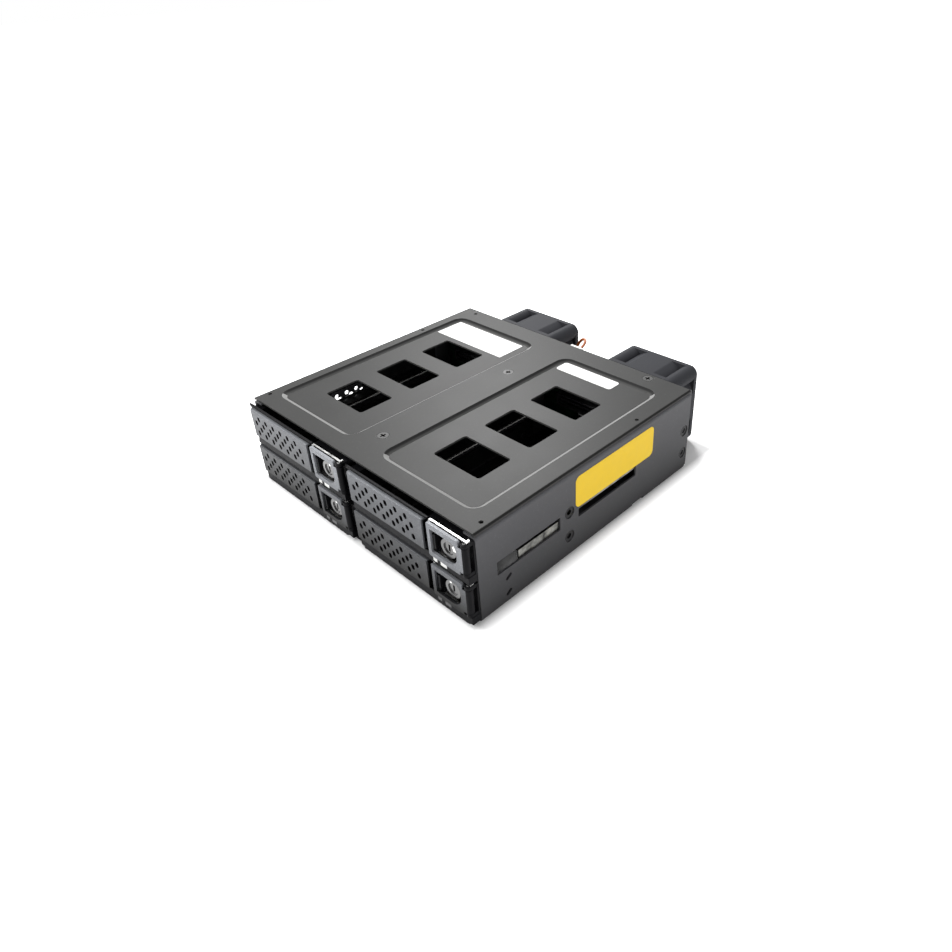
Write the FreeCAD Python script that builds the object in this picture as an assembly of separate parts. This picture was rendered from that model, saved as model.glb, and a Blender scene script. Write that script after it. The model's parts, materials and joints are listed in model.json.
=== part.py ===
"""Hot swap drive cage for one 5.25 inch bay, holding four 2.5 inch drive trays.

The trays stand in two columns and two rows. Each has a steel sled, a plastic
bezel with a perforated grille, and a hinged lever with a release catch round a
key lock. Two 40 mm fans on a rear bracket draw air through the bays.

Model axes: X to the right, Y back from the front edge of the cover, Z up from
the underside. Every finished piece is moved along Y, so that the origin lies
under the middle of the whole object.
"""
import FreeCAD
import Part
import os
from math import atan2, cos, pi, radians, sin, tan

# Cage, of bent steel sheet
cage_width = 146.0
cage_height = 41.3
cage_depth = 132.0
sheet = 0.8
bend = 0.6
flange_width = 6.0
cover_inset = 0.4
cover_bend = 0.2
skirt_drop = 0.5
seam = 0.3
lip_length = 3.8
lip_corner = 2.5
lip_notch_width = 11.0
lip_notch_depth = 1.6
rear_corner = 4.0
small_hole_r = 0.9
small_hole_inset = 3.6
small_hole_front = 6.4
small_hole_middle = 36.0
corner_hole = (9.7, 3.7)

# Recesses and windows of the cover
recess_margins = (6.2, 9.3)
recess_inner_edges = (-11.0, 7.9)
recess_length = 112.4
recess_front = 8.3
recess_drop = 1.25
recess_slope = 2.0
recess_corner = 6.0
recess_skin = 0.3
window_width = 26.5
window_length = 17.5
window_corner = 1.3
window_pitch = 28.0
window_start = 24.4

# Side mounting holes of a 5.25 inch device, M3
mount_front = 49.0
mount_pitch_y = 79.25
mount_bottom = 10.0
mount_pitch_z = 11.84
mount_hole_r = 1.25
dimple_r = 2.8
dimple_depth = 0.35

# Slots and small cut-outs of the side walls
front_slot = (9.2, 43.5)
rear_slot = (54.4, 92.0)
slot_drop = 4.3
slot_height = 6.2
slot_corner = 0.4
edge_notch = (90.8, 99.0)
edge_notch_height = 1.6
oval_length = 3.4
oval_width = 1.5
oval_slant = 35.0
oval_places = ((14.7, 12.4), (14.5, 4.9))
pilot_hole_r = 1.1
pilot_pitch = 5.8
pilot_start = 40.9
pilot_height = 23.8

# Trays
side_margin = 0.1
column_gap = 1.0
first_row = 1.6
row_gap = 0.3
cover_gap = 0.6
tray_front = -5.0

# Sleds and their guide rails
sled_sheet = 0.6
sled_bend = 0.4
sled_clearance = 0.3
sled_drop = 0.1
sled_wall_gap = 8.0
sled_strip = 6.9
sled_front_bar = 10.0
sled_rear_bar = 8.0
sled_opening_corner = 3.0
sled_front = 0.2
sled_rear = 104.0
sled_hole_r = 1.6
sled_hole_pitch = 76.6
sled_hole_front = 20.0
sled_hole_height = 3.2
sight_margin = 3.5
sight_low = 1.4
sight_high = 6.2
rail_projection = 7.1
rail_leg = 7.0
rail_front = 21.0
rail_tab = 24.0
running_gap = 0.3

# Bezel; an inset is measured from its right edge or its top
bezel_back = -0.3
bar_front = -4.4
bar_height = 4.2
bar_start = 5.0
body_front = -2.2
lip_front = -3.7
lip_height = 0.6
lip_slope = 1.1
top_fall = 2.9
neck_depth = 4.3
neck_top_inset = 3.3
neck_corner = 0.5
air_left = 6.0
air_right_inset = 24.2
air_bottom = 5.8
air_top_inset = 2.4
pocket_left_inset = 21.2
pocket_floor = 0.5
pocket_bottom = 3.4
pocket_back = -0.9
pocket_back_inset = 4.9

# Grille
grille_left = 4.6
grille_right_inset = 22.8
grille_bottom = 4.3
grille_top_gap = 0.9
grille_sheet = 0.8
grille_bevel = 0.5
slot_margins_x = (4.15, 5.75)
slot_margins_z = (2.775, 3.375)
slot_length_share = 0.96
slot_width_share = 0.7
slot_tilt = -76.0
slot_shift_share = 0.455
slot_rows = 4
slots_in_long_row = 7

# Lever, its plate, pin and catch
lever_left_inset = 20.1
lever_right_inset = 3.5
lever_bottom = 3.6
lever_top_gap = 0.4
lever_face = 1.1
lever_corner = 0.6
window_left_inset = 18.5
window_right_inset = 4.6
window_low = 5.7
window_top_inset = 2.7
window_small_corner = 0.3
window_low_corner_share = 0.47
window_high_corner_share = 0.28
pivot_inset = 1.7
pivot_y = -3.4
barrel_r = 1.55
pin_r = 0.75
pin_clearance = 0.05
ear_bottom = 5.0
ear_top_inset = 2.4
ear_thickness = 1.5
ear_gap = 0.2
plate_front = -3.5
plate_sheet = 0.8
plate_left_inset = 20.4
plate_bottom = 4.0
plate_rim = 0.2
plate_corner = 0.5
band_height = 0.7
band_reach = 1.2
hook_width = 0.8
hook_back = -1.8
guide_sheet = 0.5
guide_offset = 0.8
guide_length = 4.2
guide_clearance = 0.1
peg_r = 0.4
peg_inset = 2.0
catch_left_inset = 19.2
catch_width = 2.7
catch_margin = 0.3
catch_clearance = 0.2
catch_back = -1.2
bar_left_inset = 17.8
bar_width = 1.2
bar_low_margin = 1.6
bar_high_margin = 2.7
catch_nose = -4.3
tip_reach = 0.4
tip_thickness = 0.5

# Key lock
lock_inset = 10.4
lock_rise = 1.3
lock_share = 0.2
lock_rim = 0.2
lock_flange = 0.6
lock_front = -3.6
lock_face_inset = 1.2
lock_face_depth = 0.5
lock_clearance = 0.05
boss_wall = 1.2
boss_front = -0.9
keyway_width = 0.9
keyway_share = 0.79
keyway_depth = 2.0
cam_length = 6.0
cam_width = 3.0
cam_thickness = 0.8

# Light pipes under the lever, as insets from the bezel's right edge
pipe_insets = ((18.8, 16.6), (14.8, 11.4))
pipe_low = 1.2
pipe_high = 3.0
pipe_corner = 0.3
pipe_proud = 0.1

# Divider
divider_front = 3.0
divider_flange = 7.0
divider_tab = 6.0
divider_tab_pitch = 40.0
divider_tab_start = 20.0
divider_tab_count = 3
tab_clearance = 0.1

# Backplane and its connectors
board_front = 114.0
board_thickness = 1.6
board_side_gap = 1.0
board_bottom_gap = 0.4
board_top_gap = 0.6
vent_width = 14.0
vent_top_gap = 12.5
vent_offset = 8.5
vent_height_in_bay = 11.0
vent_corner = 1.0
socket_width = 42.0
socket_height = 6.4
socket_depth = 8.0
socket_lift = 3.2
socket_wall = 0.9
socket_floor = 2.0
tongue = 1.2
tongue_margin = 1.5
tongue_setback = 1.0
data_width = 14.6
data_height = 5.4
data_depth = 7.4
data_pitch = 6.6
data_count = 4
data_bottom = 4.6
power_height = 22.5
power_depth = 10.0
power_gap = 1.6
power_bottom = 8.0

# Rear bracket
bracket_sheet = 1.0
bracket_gap = 0.2
bracket_tab_depth = 10.7
bracket_tab_insets = (33.0, 11.0)
bracket_foot = 12.0
bracket_foot_inset = 18.0
bracket_ear = 5.8
ear_tab_height = 6.0
arm_bottom = 5.0
arm_top_inset = 7.3
opening_corner = 1.5
port_margins = (2.4, 2.5)
port_opening_z = (3.0, 31.0)
power_margins = (0.2, 1.3)
power_opening_rim = (0.8, 0.6)
power_opening_z = (6.0, 32.5)

# Fans
fan_lift = 0.7
fan_headroom = 0.6
fan_depth = 20.0
fan_offset = 5.7
fan_flange = 2.2
fan_corner = 4.0
fan_hole_inset = 4.0
fan_screw_r = 1.5
fan_rim = 1.2
duct_wall = 2.3
blade_gap = 0.6
blade_count = 7
blade_thickness = 1.0
root_chord_share = 0.92
tip_chord_share = 0.69
root_pitch = 50.0
tip_pitch = 34.0
hub_share = 0.245
hub_wall = 0.9
hub_length = 14.0
hub_setback = 1.6
motor_gap = 1.2
strut_width = 2.2
strut_count = 3
strut_start = 30.0
shaft_r = 1.0
shaft_cap = 0.8
bearing_r = 3.0
bearing_gap = 0.9
bearing_clearance = 0.05

# Fan lead, header and plug
header_size = (8.6, 3.2, 6.0)
plug_size = (7.4, 6.1, 4.9)
plug_seat = 1.0
header_offset = 10.4
header_drop = 6.9
lead_r = 0.75
lead_route = (
    (-0.6, 140.3, 34.4), (-0.6, 143.6, 34.4), (-1.9, 149.0, 36.6), (-7.0, 151.4, 35.2),
    (-10.0, 150.2, 29.4), (-8.0, 146.8, 20.8), (-12.2, 143.8, 18.2),
)

# Screws
centre_screw_x = -1.8
centre_screw_ys = (18.5, 91.5)
rear_screw_insets = (21.5, 3.6)
cover_head_r = 2.8
cover_head_drop = 1.1
screw_r = 1.4
screw_length = 4.0
cross_width = 0.7
cross_length = 2.6
cross_depth = 0.8
pan_head_r = 2.6
pan_head_height = 1.2

# Labels, left bare
label_thickness = 0.1
left_label_margins = (3.2, 6.4)
left_label_ys = (101.2, 117.4)
right_label_start = 3.2
right_label_width = 32.4
right_label_ys = (110.4, 118.2)
right_label_corner = 1.5
side_label_ys = (52.6, 103.7)
side_label_drops = (19.6, 4.8)
side_label_corner = 2.5

# Sizes worked out from the ones above
half_width = cage_width / 2
wall_inside = half_width - sheet
wall_top = cage_height - sheet - skirt_drop - seam
cover_under = cage_height - sheet
recess_spans = (
    (recess_margins[0] - half_width, recess_inner_edges[0]),
    (recess_inner_edges[1], half_width - recess_margins[1]),
)
bay_width = (cage_width - 3 * sheet) / 2
bay_centres = (-(sheet + bay_width) / 2, (sheet + bay_width) / 2)
bezel_width = (cage_width - 2 * side_margin - column_gap) / 2
bezel_height = (cover_under - cover_gap - first_row - row_gap) / 2
column_left = (side_margin - half_width, column_gap / 2)
row_bottom = (first_row, first_row + bezel_height + row_gap)
slot_bottom = row_bottom[1] - slot_drop
sled_width = bay_width - 2 * sled_clearance
sled_wall = bezel_height - sled_wall_gap
sled_floor = sled_sheet - sled_drop
neck_width = sled_width - 2 * sled_sheet
neck_back = bezel_back + neck_depth
ledge_top = row_bottom[1] - sled_drop - running_gap
rail_rear = board_front - socket_depth - 2 * running_gap
air_right = bezel_width - air_right_inset
air_top = bezel_height - air_top_inset
pocket_left = bezel_width - pocket_left_inset
pocket_back_left = bezel_width - pocket_back_inset
grille_right = bezel_width - grille_right_inset
grille_top = bezel_height - grille_top_gap
slot_pitch_x = (grille_right - grille_left - sum(slot_margins_x)) / (slots_in_long_row - 1)
slot_pitch_z = (grille_top - grille_bottom - sum(slot_margins_z)) / (slot_rows - 1)
slot_length = slot_length_share * slot_pitch_z
slot_width = slot_width_share * slot_pitch_z
slot_shift = slot_shift_share * slot_pitch_x
lever_left = bezel_width - lever_left_inset
lever_right = bezel_width - lever_right_inset
window_left = bezel_width - window_left_inset
window_right = bezel_width - window_right_inset
window_high = bezel_height - window_top_inset
window_low_corner = window_low_corner_share * (window_high - window_low)
window_high_corner = window_high_corner_share * (window_high - window_low)
pivot_x = bezel_width - pivot_inset
ear_top = bezel_height - ear_top_inset
plate_left = bezel_width - plate_left_inset
plate_back = plate_front + plate_sheet
catch_left = bezel_width - catch_left_inset
catch_low = window_low + catch_margin
catch_high = window_high - catch_margin
bar_left = bezel_width - bar_left_inset
bar_low = window_low + bar_low_margin
bar_high = window_high - bar_high_margin
lock_x = bezel_width - lock_inset
lock_z = bezel_height / 2 + lock_rise
lock_r = lock_share * bezel_height
lock_flange_r = lock_r + lock_rim
lock_face_r = lock_r - lock_face_inset
boss_r = lock_r + boss_wall
keyway_length = keyway_share * lock_r
vent_height = bezel_height - vent_top_gap
bracket_front = cage_depth + bracket_gap
bracket_rear = bracket_front + bracket_sheet
bracket_inner = wall_inside - bracket_ear
arm_top = cage_height - arm_top_inset
fan_size = cage_height - fan_lift - fan_headroom
fan_rear = bracket_rear + fan_depth
fan_middle = fan_size / 2
fan_axis_z = fan_lift + fan_middle
fan_hole_pitch = fan_size - 2 * fan_hole_inset
fan_centres = [left + bezel_width / 2 + fan_offset for left in column_left]
fan_gap = (fan_centres[0] + fan_middle, fan_centres[1] - fan_middle)
duct_r = fan_middle - fan_rim
duct_outer_r = duct_r + duct_wall
hub_r = hub_share * fan_size
motor_r = hub_r - motor_gap
hub_floor = 1.5 * hub_wall
data_x = sum(fan_gap) / 2
port_opening = (fan_gap[0] + port_margins[0], fan_gap[1] - port_margins[1]) + port_opening_z
power_left = power_margins[0] - bracket_inner
power_right = fan_centres[0] - fan_middle - power_margins[1]
power_width = (power_right - power_left - power_gap) / 2
power_opening = (power_left - power_opening_rim[0], power_right + power_opening_rim[1]) + power_opening_z
board_rear = board_front + board_thickness
header_x = fan_gap[0] + header_offset
header_z = cage_height - header_drop
plug_rear = bracket_rear + plug_seat + plug_size[1]
cover_screw_places = [(centre_screw_x, y) for y in centre_screw_ys]
cover_screw_places.append((half_width - rear_screw_insets[0], cage_depth - rear_screw_insets[1]))
left_label = (
    recess_spans[0][0] + left_label_margins[0], recess_spans[0][1] - left_label_margins[1],
) + left_label_ys
right_label = (
    recess_spans[1][0] + right_label_start, recess_spans[1][0] + right_label_start + right_label_width,
) + right_label_ys
side_label = side_label_ys + tuple(cage_height - drop for drop in side_label_drops)
middle_x = label_thickness / 2
middle_y = (tray_front + fan_rear) / 2

AXES = {
    "x": FreeCAD.Vector(1, 0, 0),
    "y": FreeCAD.Vector(0, 1, 0),
    "z": FreeCAD.Vector(0, 0, 1),
}


def point(axis, u, v, level):
    """Point of the plane across an axis: (y, z) for x, (x, z) for y, (x, y) for z."""
    if axis == "x":
        return FreeCAD.Vector(level, u, v)
    if axis == "y":
        return FreeCAD.Vector(u, level, v)
    return FreeCAD.Vector(u, v, level)


def outline(corners, axis, level):
    """Closed wire through (u, v) or (u, v, radius) corners, with tangent arcs."""
    stops = []
    for index, corner in enumerate(corners):
        here = point(axis, corner[0], corner[1], level)
        radius = corner[2] if len(corner) > 2 else 0
        if radius <= 0:
            stops.append((here, here, here))
            continue
        before = corners[index - 1]
        after = corners[(index + 1) % len(corners)]
        to_before = (point(axis, before[0], before[1], level) - here).normalize()
        to_after = (point(axis, after[0], after[1], level) - here).normalize()
        half = to_before.getAngle(to_after) / 2
        reach = radius / tan(half)
        middle = here + (to_before + to_after).normalize() * (radius / sin(half) - radius)
        stops.append((here + to_before * reach, middle, here + to_after * reach))
    edges = []
    for index, (start, middle, end) in enumerate(stops):
        following = stops[(index + 1) % len(stops)][0]
        if start.distanceToPoint(end) > 1e-6:
            edges.append(Part.Arc(start, middle, end).toShape())
        if end.distanceToPoint(following) > 1e-6:
            edges.append(Part.LineSegment(end, following).toShape())
    return Part.Wire(edges)


def prism(corners, axis, start, end):
    """Solid between two levels of an axis with the outline of the corners."""
    return Part.Face(outline(corners, axis, start)).extrude(AXES[axis] * (end - start))


def frustum(low, low_level, high, high_level):
    """Solid between two outlines in planes across Z."""
    wires = [outline(low, "z", low_level), outline(high, "z", high_level)]
    return Part.makeLoft(wires, True, True)


def rectangle(u0, u1, v0, v1, radius=0):
    """Corners of a rectangle, all with one radius."""
    return [(u0, v0, radius), (u1, v0, radius), (u1, v1, radius), (u0, v1, radius)]


def box(x0, x1, y0, y1, z0, z1):
    """Box between its six planes."""
    return Part.makeBox(x1 - x0, y1 - y0, z1 - z0, FreeCAD.Vector(x0, y0, z0))


def cylinder(axis, u, v, radius, start, end):
    """Cylinder along an axis."""
    return Part.makeCylinder(radius, end - start, point(axis, u, v, start), AXES[axis])


def cone(axis, u, v, start_r, end_r, start, end):
    """Cone along an axis."""
    return Part.makeCone(start_r, end_r, end - start, point(axis, u, v, start), AXES[axis])


def stadium(u, v, length, width, slant):
    """Corners of a slot with cut corners, turned by a slant in degrees."""
    half_length = length / 2
    half_width = width / 2
    cut = 0.3 * width
    quarter = [(half_length, half_width - cut), (half_length - cut, half_width)]
    around = quarter + [(-a, b) for a, b in reversed(quarter)]
    around += [(-a, -b) for a, b in quarter] + [(a, -b) for a, b in reversed(quarter)]
    angle = radians(slant)
    return [(u + a * cos(angle) - b * sin(angle), v + a * sin(angle) + b * cos(angle)) for a, b in around]


def sheet_section(path, thickness, radius):
    """Corners of a bent sheet: a path of (u, v) points, with the sheet on its left."""
    left = []
    bends = []
    for index, (u, v) in enumerate(path):
        turns = []
        if index > 0:
            turns.append(atan2(v - path[index - 1][1], u - path[index - 1][0]))
        if index < len(path) - 1:
            turns.append(atan2(path[index + 1][1] - v, path[index + 1][0] - u))
        turn = (turns[-1] - turns[0] + pi) % (2 * pi) - pi
        normal = turns[0] + pi / 2 + turn / 2
        reach = thickness / cos(turn / 2)
        left.append((u + reach * cos(normal), v + reach * sin(normal)))
        bends.append(turn)
    outer = radius + thickness
    corners = []
    for (u, v), turn in zip(path, bends):
        corners.append((u, v, 0 if turn == 0 else outer if turn > 0 else radius))
    for (u, v), turn in reversed(list(zip(left, bends))):
        corners.append((u, v, 0 if turn == 0 else radius if turn > 0 else outer))
    return corners


def joined(shapes):
    """One solid from touching or overlapping shapes."""
    return shapes[0].fuse(shapes[1:]).removeSplitter()


def group(solids):
    """Separate solids in one node."""
    return Part.makeCompound(solids)


def mirrored(shape):
    """The same shape on the other side of the middle plane."""
    return shape.mirror(FreeCAD.Vector(0, 0, 0), AXES["x"])


def moved(shape, x, y, z):
    """Copy of a shape, moved."""
    return shape.translated(FreeCAD.Vector(x, y, z))


def wall_cuts():
    """What is cut out of each side wall, on the right-hand side."""
    inside = wall_inside - 2 * sheet
    outside = half_width + sheet
    cuts = []
    for front, rear in (front_slot, rear_slot):
        slot = rectangle(front, rear, slot_bottom, slot_bottom + slot_height, slot_corner)
        cuts.append(prism(slot, "x", inside, outside))
    for y, z in oval_places:
        cuts.append(prism(stadium(y, z, oval_length, oval_width, oval_slant), "x", inside, outside))
    for y in (mount_front, mount_front + mount_pitch_y):
        for z in (mount_bottom, mount_bottom + mount_pitch_z):
            cuts.append(cylinder("x", y, z, mount_hole_r, inside, outside))
            rim = half_width - dimple_depth
            cuts.append(cone("x", y, z, dimple_r - dimple_depth, dimple_r, rim, half_width))
    low = cage_depth - rear_corner
    corner = box(inside, outside, low, cage_depth + 1, -1, rear_corner)
    cuts.append(corner.cut(cylinder("x", low, rear_corner, rear_corner, inside, outside)))
    cuts.append(box(half_width - 3 * sheet, outside, edge_notch[0], edge_notch[1], -1, edge_notch_height))
    return cuts


def divider_tabs(clearance):
    """Tabs under the divider, or the slots for them in the floor."""
    half = sheet / 2 + clearance
    tabs = []
    for index in range(divider_tab_count):
        start = divider_tab_start + index * divider_tab_pitch
        tabs.append(box(-half, half, start - clearance, start + divider_tab + clearance, 0, sheet))
    return tabs


def make_cage_base():
    """Floor, both side walls and their top flanges, bent from one sheet."""
    path = [
        (flange_width - half_width, wall_top),
        (-half_width, wall_top),
        (-half_width, 0),
        (half_width, 0),
        (half_width, wall_top),
        (half_width - flange_width, wall_top),
    ]
    base = prism(sheet_section(path, sheet, bend), "y", 0, cage_depth)
    edge = half_width - sheet - bend
    half_notch = lip_notch_width / 2
    lip = [
        (-edge, 0), (-edge, -lip_length, lip_corner), (-half_notch, -lip_length, 1),
        (-half_notch, lip_notch_depth - lip_length), (half_notch, lip_notch_depth - lip_length),
        (half_notch, -lip_length, 1), (edge, -lip_length, lip_corner), (edge, 0),
    ]
    base = joined([base, prism(lip, "z", 0, sheet)])
    cuts = wall_cuts()
    cuts += [mirrored(cut) for cut in cuts]
    for index in range(3):
        y = pilot_start + index * pilot_pitch
        cuts.append(cylinder("x", y, pilot_height, pilot_hole_r, -half_width - 1, -wall_inside + 1))
    cuts += divider_tabs(tab_clearance)
    cuts += cover_holes()
    return base.cut(cuts)


def cover_holes():
    """Small holes through the cover, and through the flanges where they lie below."""
    edge = half_width - small_hole_inset
    places = []
    for y in (small_hole_front, cage_depth - small_hole_middle):
        places += [(edge, y), (-edge, y)]
    places.append((corner_hole[0] - half_width, cage_depth - corner_hole[1]))
    return [cylinder("z", x, y, small_hole_r, wall_top - 2 * sheet, cage_height + 1) for x, y in places]


def recess_outline(span, inset):
    """Outline of one recess of the cover, drawn in by an inset."""
    rear = recess_front + recess_length - inset
    return rectangle(span[0] + inset, span[1] - inset, recess_front + inset, rear, recess_corner - inset)


def make_top_cover():
    """Cover with two pressed recesses, three windows in each, and short side skirts."""
    edge = half_width - cover_inset
    path = [
        (edge, wall_top + seam), (edge, cage_height), (-edge, cage_height), (-edge, wall_top + seam),
    ]
    cover = prism(sheet_section(path, sheet, cover_bend), "y", 0, cage_depth)
    floor = cage_height - recess_drop
    pans = []
    cuts = cover_holes() + cover_screws()
    half = window_width / 2
    for span in recess_spans:
        pans.append(
            frustum(recess_outline(span, recess_slope - recess_skin), floor - sheet,
                    recess_outline(span, -recess_skin), cover_under)
        )
        cuts.append(
            frustum(recess_outline(span, recess_slope), floor, recess_outline(span, 0), cage_height)
        )
        centre = sum(span) / 2
        for index in range(3):
            y = window_start + index * window_pitch
            window = rectangle(centre - half, centre + half, y, y + window_length, window_corner)
            cuts.append(prism(window, "z", floor - 2 * sheet, cage_height))
    return joined([cover] + pans).cut(cuts)


def make_centre_divider():
    """Upright sheet between the columns, with a top flange for the cover screws."""
    half = sheet / 2
    path = [(half, sheet), (half, cover_under), (half - divider_flange, cover_under)]
    plate = prism(sheet_section(path, sheet, bend), "y", divider_front, board_front - running_gap)
    return joined([plate] + divider_tabs(0)).cut(cover_screws())


def guide_rail(wall, side, tabs):
    """Angle rail whose ledge carries an upper sled, on the face of a wall at X."""
    inner = wall + side * sheet
    ledge_edge = wall + side * rail_projection
    bottom = ledge_top - sheet
    ledge = box(min(wall, ledge_edge), max(wall, ledge_edge), rail_front, rail_rear, bottom, ledge_top)
    legs = []
    for start, end in tabs:
        legs.append(box(min(wall, inner), max(wall, inner), start, end, ledge_top - rail_leg, ledge_top))
    return joined([ledge] + legs)


def make_side_rails():
    """Bare steel rails on the two side walls, held by a front and a rear tab."""
    tabs = [(rail_front, rail_front + rail_tab), (rail_rear - rail_tab / 2, rail_rear)]
    right = guide_rail(wall_inside, -1, tabs)
    return group([right, mirrored(right)])


def make_centre_rails():
    """Rails on both faces of the divider."""
    right = guide_rail(sheet / 2, 1, [(rail_front, rail_rear)])
    return group([right, mirrored(right)])


def bracket_tab_corners():
    """Front tabs of the bracket, which carry the board: (x0, x1, z0, z1), right-hand side."""
    spans = [(arm_bottom, arm_bottom + ear_tab_height), (arm_top - ear_tab_height, arm_top)]
    return [(bracket_inner, wall_inside, low, high) for low, high in spans]


def board_screw_places():
    """Centres of the board screws, right-hand side."""
    return [((x0 + x1) / 2, (z0 + z1) / 2) for x0, x1, z0, z1 in bracket_tab_corners()]


def make_rear_bracket():
    """Rear plate for the fans, with side arms forward to the board and tabs to floor and cover."""
    plate = box(-wall_inside, wall_inside, bracket_front, bracket_rear, sheet, cover_under)
    edge = half_width - bracket_foot_inset
    foot = box(-edge, edge, bracket_front - bracket_foot, bracket_front, sheet, sheet + bracket_sheet)
    parts = [plate, foot]
    for side in (-1, 1):
        x0, x1 = sorted(side * (half_width - inset) for inset in bracket_tab_insets)
        y0 = bracket_rear - bracket_tab_depth
        parts.append(box(x0, x1, y0, bracket_front, cover_under - bracket_sheet, cover_under))
    arm = box(wall_inside - bracket_sheet, wall_inside, board_rear, bracket_front, arm_bottom, arm_top)
    tab_rear = board_rear + bracket_sheet
    arm = joined([arm] + [box(x0, x1, board_rear, tab_rear, z0, z1) for x0, x1, z0, z1 in bracket_tab_corners()])
    bracket = joined(parts + [arm, mirrored(arm)])
    cuts = [cylinder("y", x, fan_axis_z, duct_r, bracket_front - 1, bracket_rear + 1) for x in fan_centres]
    for x0, x1, z0, z1 in (port_opening, power_opening):
        opening = rectangle(x0, x1, z0, z1, opening_corner)
        cuts.append(prism(opening, "y", bracket_front - 1, bracket_rear + 1))
    return bracket.cut(cuts + fan_screws() + board_screws() + cover_screws())


def make_backplane_board():
    """Circuit board across the rear of the bays, with air vents above each socket."""
    half = half_width - sheet - board_side_gap
    top = cage_height - recess_drop - sheet - board_top_gap
    board = box(-half, half, board_front, board_rear, sheet + board_bottom_gap, top)
    cuts = list(board_screws())
    for centre in bay_centres:
        for bottom in row_bottom:
            z = bottom + vent_height_in_bay
            for side in (-1, 1):
                x = centre + side * vent_offset
                vent = rectangle(x - vent_width / 2, x + vent_width / 2, z, z + vent_height, vent_corner)
                cuts.append(prism(vent, "y", board_front - 1, board_rear + 1))
    return board.cut(cuts)


def make_drive_sockets():
    """Drive sockets on the front of the board, one for each bay."""
    sockets = []
    for centre in bay_centres:
        for bottom in row_bottom:
            z = bottom + socket_lift
            y = board_front - socket_depth
            half = socket_width / 2
            shell = box(centre - half, centre + half, y, board_front, z, z + socket_height)
            inside = half - socket_wall
            well = box(centre - inside, centre + inside, y - 1, board_front - socket_floor,
                       z + socket_wall, z + socket_height - socket_wall)
            middle = z + socket_height / 2
            reach = inside - tongue_margin
            contacts = box(centre - reach, centre + reach, y + tongue_setback, board_front,
                           middle - tongue / 2, middle + tongue / 2)
            sockets.append(joined([shell.cut(well), contacts]))
    return group(sockets)


def port(x0, x1, depth, z0, z1):
    """Open-ended connector on the rear of the board, with a tongue inside."""
    shell = box(x0, x1, board_rear, board_rear + depth, z0, z1)
    wall = socket_wall
    well = box(x0 + wall, x1 - wall, board_rear + socket_floor, board_rear + depth + 1, z0 + wall, z1 - wall)
    end = board_rear + depth - tongue_setback
    if x1 - x0 > z1 - z0:
        middle = (z0 + z1) / 2
        contacts = box(x0 + 2 * wall, x1 - 2 * wall, board_rear, end, middle - tongue / 2, middle + tongue / 2)
    else:
        middle = (x0 + x1) / 2
        contacts = box(middle - tongue / 2, middle + tongue / 2, board_rear, end, z0 + 2 * wall, z1 - 2 * wall)
    return joined([shell.cut(well), contacts])


def make_data_ports():
    """Four data ports, stacked between the fans."""
    half = data_width / 2
    ports = []
    for index in range(data_count):
        z = data_bottom + index * data_pitch
        ports.append(port(data_x - half, data_x + half, data_depth, z, z + data_height))
    return group(ports)


def make_power_ports():
    """Two upright power ports beside the left fan."""
    top = power_bottom + power_height
    left = port(power_left, power_left + power_width, power_depth, power_bottom, top)
    right = port(power_right - power_width, power_right, power_depth, power_bottom, top)
    return group([left, right])


def pan_screw(axis, u, v, seat, direction, length, radius):
    """Pan head screw: the head lies against the seat and the shank runs the other way."""
    head_end = seat - direction * pan_head_height
    shank_end = seat + direction * length
    head = cylinder(axis, u, v, pan_head_r, min(seat, head_end), max(seat, head_end))
    shank = cylinder(axis, u, v, radius, min(seat, shank_end), max(seat, shank_end))
    return joined([head, shank])


def board_screws():
    """Screws through the board into the bracket's front tabs."""
    screws = []
    for x, z in board_screw_places():
        for side in (-1, 1):
            screws.append(pan_screw("y", side * x, z, board_front, 1, screw_length, screw_r))
    return screws


def fan_screws():
    """Screws from the inside of the bracket into the fan flanges."""
    half = fan_hole_pitch / 2
    screws = []
    for centre in fan_centres:
        for dx in (-half, half):
            for dz in (-half, half):
                screws.append(
                    pan_screw("y", centre + dx, fan_axis_z + dz, bracket_front, 1, screw_length, fan_screw_r)
                )
    return screws


def cover_screws():
    """Countersunk screws, flush with the cover."""
    screws = []
    for x, y in cover_screw_places:
        neck = cage_height - cover_head_drop
        head = cone("z", x, y, screw_r, cover_head_r, neck, cage_height)
        shank = cylinder("z", x, y, screw_r, cage_height - screw_length, neck)
        screws.append(joined([head, shank]))
    return screws


def make_cover_screws():
    """The cover screws with their cross recesses."""
    finished = []
    for (x, y), screw in zip(cover_screw_places, cover_screws()):
        low = cage_height - cross_depth
        long = cross_length / 2
        thin = cross_width / 2
        cross = [
            box(x - long, x + long, y - thin, y + thin, low, cage_height + 1),
            box(x - thin, x + thin, y - long, y + long, low, cage_height + 1),
        ]
        finished.append(screw.cut(cross))
    return group(finished)


def make_fan_frame(centre):
    """Fan frame: two flanges, the duct between them, and a post at each corner."""
    front = bracket_rear
    left = centre - fan_middle
    right = centre + fan_middle
    top = fan_lift + fan_size
    square = rectangle(left, right, fan_lift, top, fan_corner)
    flanges = [
        prism(square, "y", front, front + fan_flange),
        prism(square, "y", fan_rear - fan_flange, fan_rear),
    ]
    duct = cylinder("y", centre, fan_axis_z, duct_outer_r, front, fan_rear)
    duct = duct.common(box(left, right, front, fan_rear, fan_lift, top))
    pitch = fan_hole_pitch / 2
    corners = [(centre + dx, fan_axis_z + dz) for dx in (-pitch, pitch) for dz in (-pitch, pitch)]
    posts = [cylinder("y", x, z, fan_hole_inset, front, fan_rear) for x, z in corners]
    bore = cylinder("y", centre, fan_axis_z, duct_r, front - 1, fan_rear + 1)
    body = joined(flanges + [duct] + posts).cut(bore)
    return body.cut([cylinder("y", x, z, fan_screw_r, front - 1, fan_rear + 1) for x, z in corners])


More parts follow.
